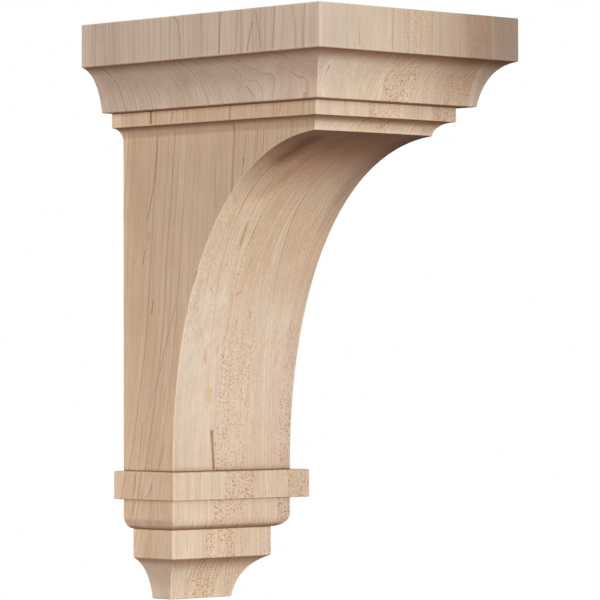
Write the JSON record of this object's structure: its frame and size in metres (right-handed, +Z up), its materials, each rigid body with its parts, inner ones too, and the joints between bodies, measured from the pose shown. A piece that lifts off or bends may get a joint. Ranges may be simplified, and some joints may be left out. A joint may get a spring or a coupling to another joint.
{
  "type": "wooden corbel",
  "caption": "Wooden wall corbel with a moulded cap, a long concave arch and a stepped foot. It is fixed to a wall and carries a shelf, mantel or worktop.",
  "frame": {"origin": "middle of the flat wall face, halfway up", "axes": "+Z up, +Y out of the back into the wall, so the front looks along -Y, +X to the right seen from the front"},
  "size_m": [0.1778, 0.2286, 0.381],
  "materials": {
    "maple": "bare sanded maple, pinkish beige, unfinished"
  },
  "bodies": {
    "root": {"corbel": "maple"}
  },
  "joints": []
}
